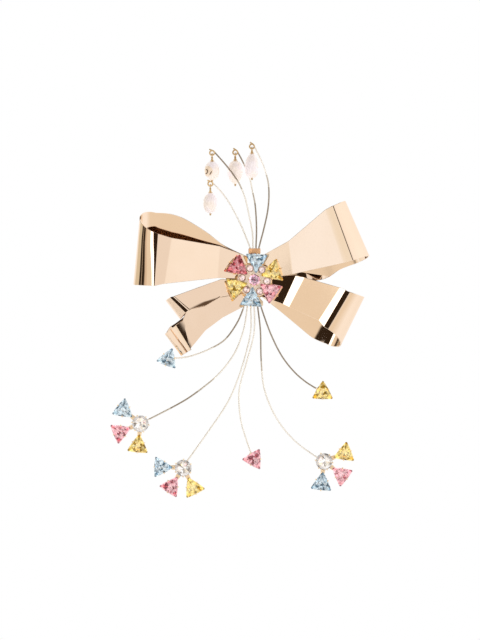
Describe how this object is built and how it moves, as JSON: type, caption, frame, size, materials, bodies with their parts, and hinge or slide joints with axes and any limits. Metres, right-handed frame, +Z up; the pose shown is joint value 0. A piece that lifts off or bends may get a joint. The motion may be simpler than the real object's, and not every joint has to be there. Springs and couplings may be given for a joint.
{
  "type": "bow brooch",
  "caption": "Brooch with a bow of polished sheet-metal loops, a flower of triangular cut stones at its knot, pearl drops on wires above and stone sprays on wires below.",
  "frame": {"origin": "middle of the pin's axis, where it goes through the cloth", "axes": "+Z up as worn, +X to the wearer's left, which is the viewer's right, and the front faces -Y"},
  "size_m": [0.1269, 0.0205, 0.1743],
  "materials": {
    "polished_gold": "mirror polish",
    "setting_gold": "polished",
    "pearl": "pearl lustre",
    "pale_blue_stone": "cut stone, pale blue",
    "yellow_stone": "cut stone, yellow",
    "pink_stone": "cut stone, pink",
    "red_pink_stone": "cut stone, deep pink",
    "violet_stone": "cut stone, pink violet",
    "clear_stone": "cut stone, clear"
  },
  "bodies": {
    "root": {"bow_loop_upper_left": "polished_gold", "bow_loop_upper_right": "polished_gold", "bow_tail_lower_left": "polished_gold", "bow_loop_lower_right": "polished_gold", "flower_setting": "setting_gold", "pin_back": "setting_gold", "centre_stone": "violet_stone", "petal_stone_1": "pale_blue_stone", "petal_stone_2": "yellow_stone", "petal_stone_3": "pink_stone", "petal_stone_4": "pale_blue_stone", "petal_stone_5": "yellow_stone", "petal_stone_6": "red_pink_stone", "accent_stone_1": "clear_stone", "accent_stone_2": "clear_stone", "accent_stone_3": "clear_stone", "accent_stone_4": "clear_stone", "accent_stone_5": "clear_stone", "accent_stone_6": "clear_stone", "drop_stem_1": "setting_gold", "drop_stem_2": "setting_gold", "drop_stem_3": "setting_gold", "drop_stem_4": "setting_gold", "drop_stem_5": "setting_gold", "drop_stem_6": "setting_gold", "single_stone_1": "pale_blue_stone", "single_stone_2": "pink_stone", "single_stone_3": "yellow_stone", "spray_1_stone_0": "clear_stone", "spray_1_stone_1": "pale_blue_stone", "spray_1_stone_2": "pink_stone", "spray_1_stone_3": "yellow_stone", "spray_2_stone_0": "clear_stone", "spray_2_stone_1": "pale_blue_stone", "spray_2_stone_2": "pink_stone", "spray_2_stone_3": "yellow_stone", "spray_3_stone_0": "clear_stone", "spray_3_stone_1": "yellow_stone", "spray_3_stone_2": "pink_stone", "spray_3_stone_3": "pale_blue_stone", "pearl_stem_1": "setting_gold", "pearl_stem_2": "setting_gold", "pearl_stem_3": "setting_gold", "pearl_stem_4": "setting_gold", "pearl_hanger_1": "setting_gold", "pearl_hanger_2": "setting_gold", "pearl_hanger_3": "setting_gold", "pearl_hanger_4": "setting_gold", "pearl_1": "pearl", "pearl_2": "pearl", "pearl_3": "pearl", "pearl_4": "pearl"}
  },
  "joints": []
}
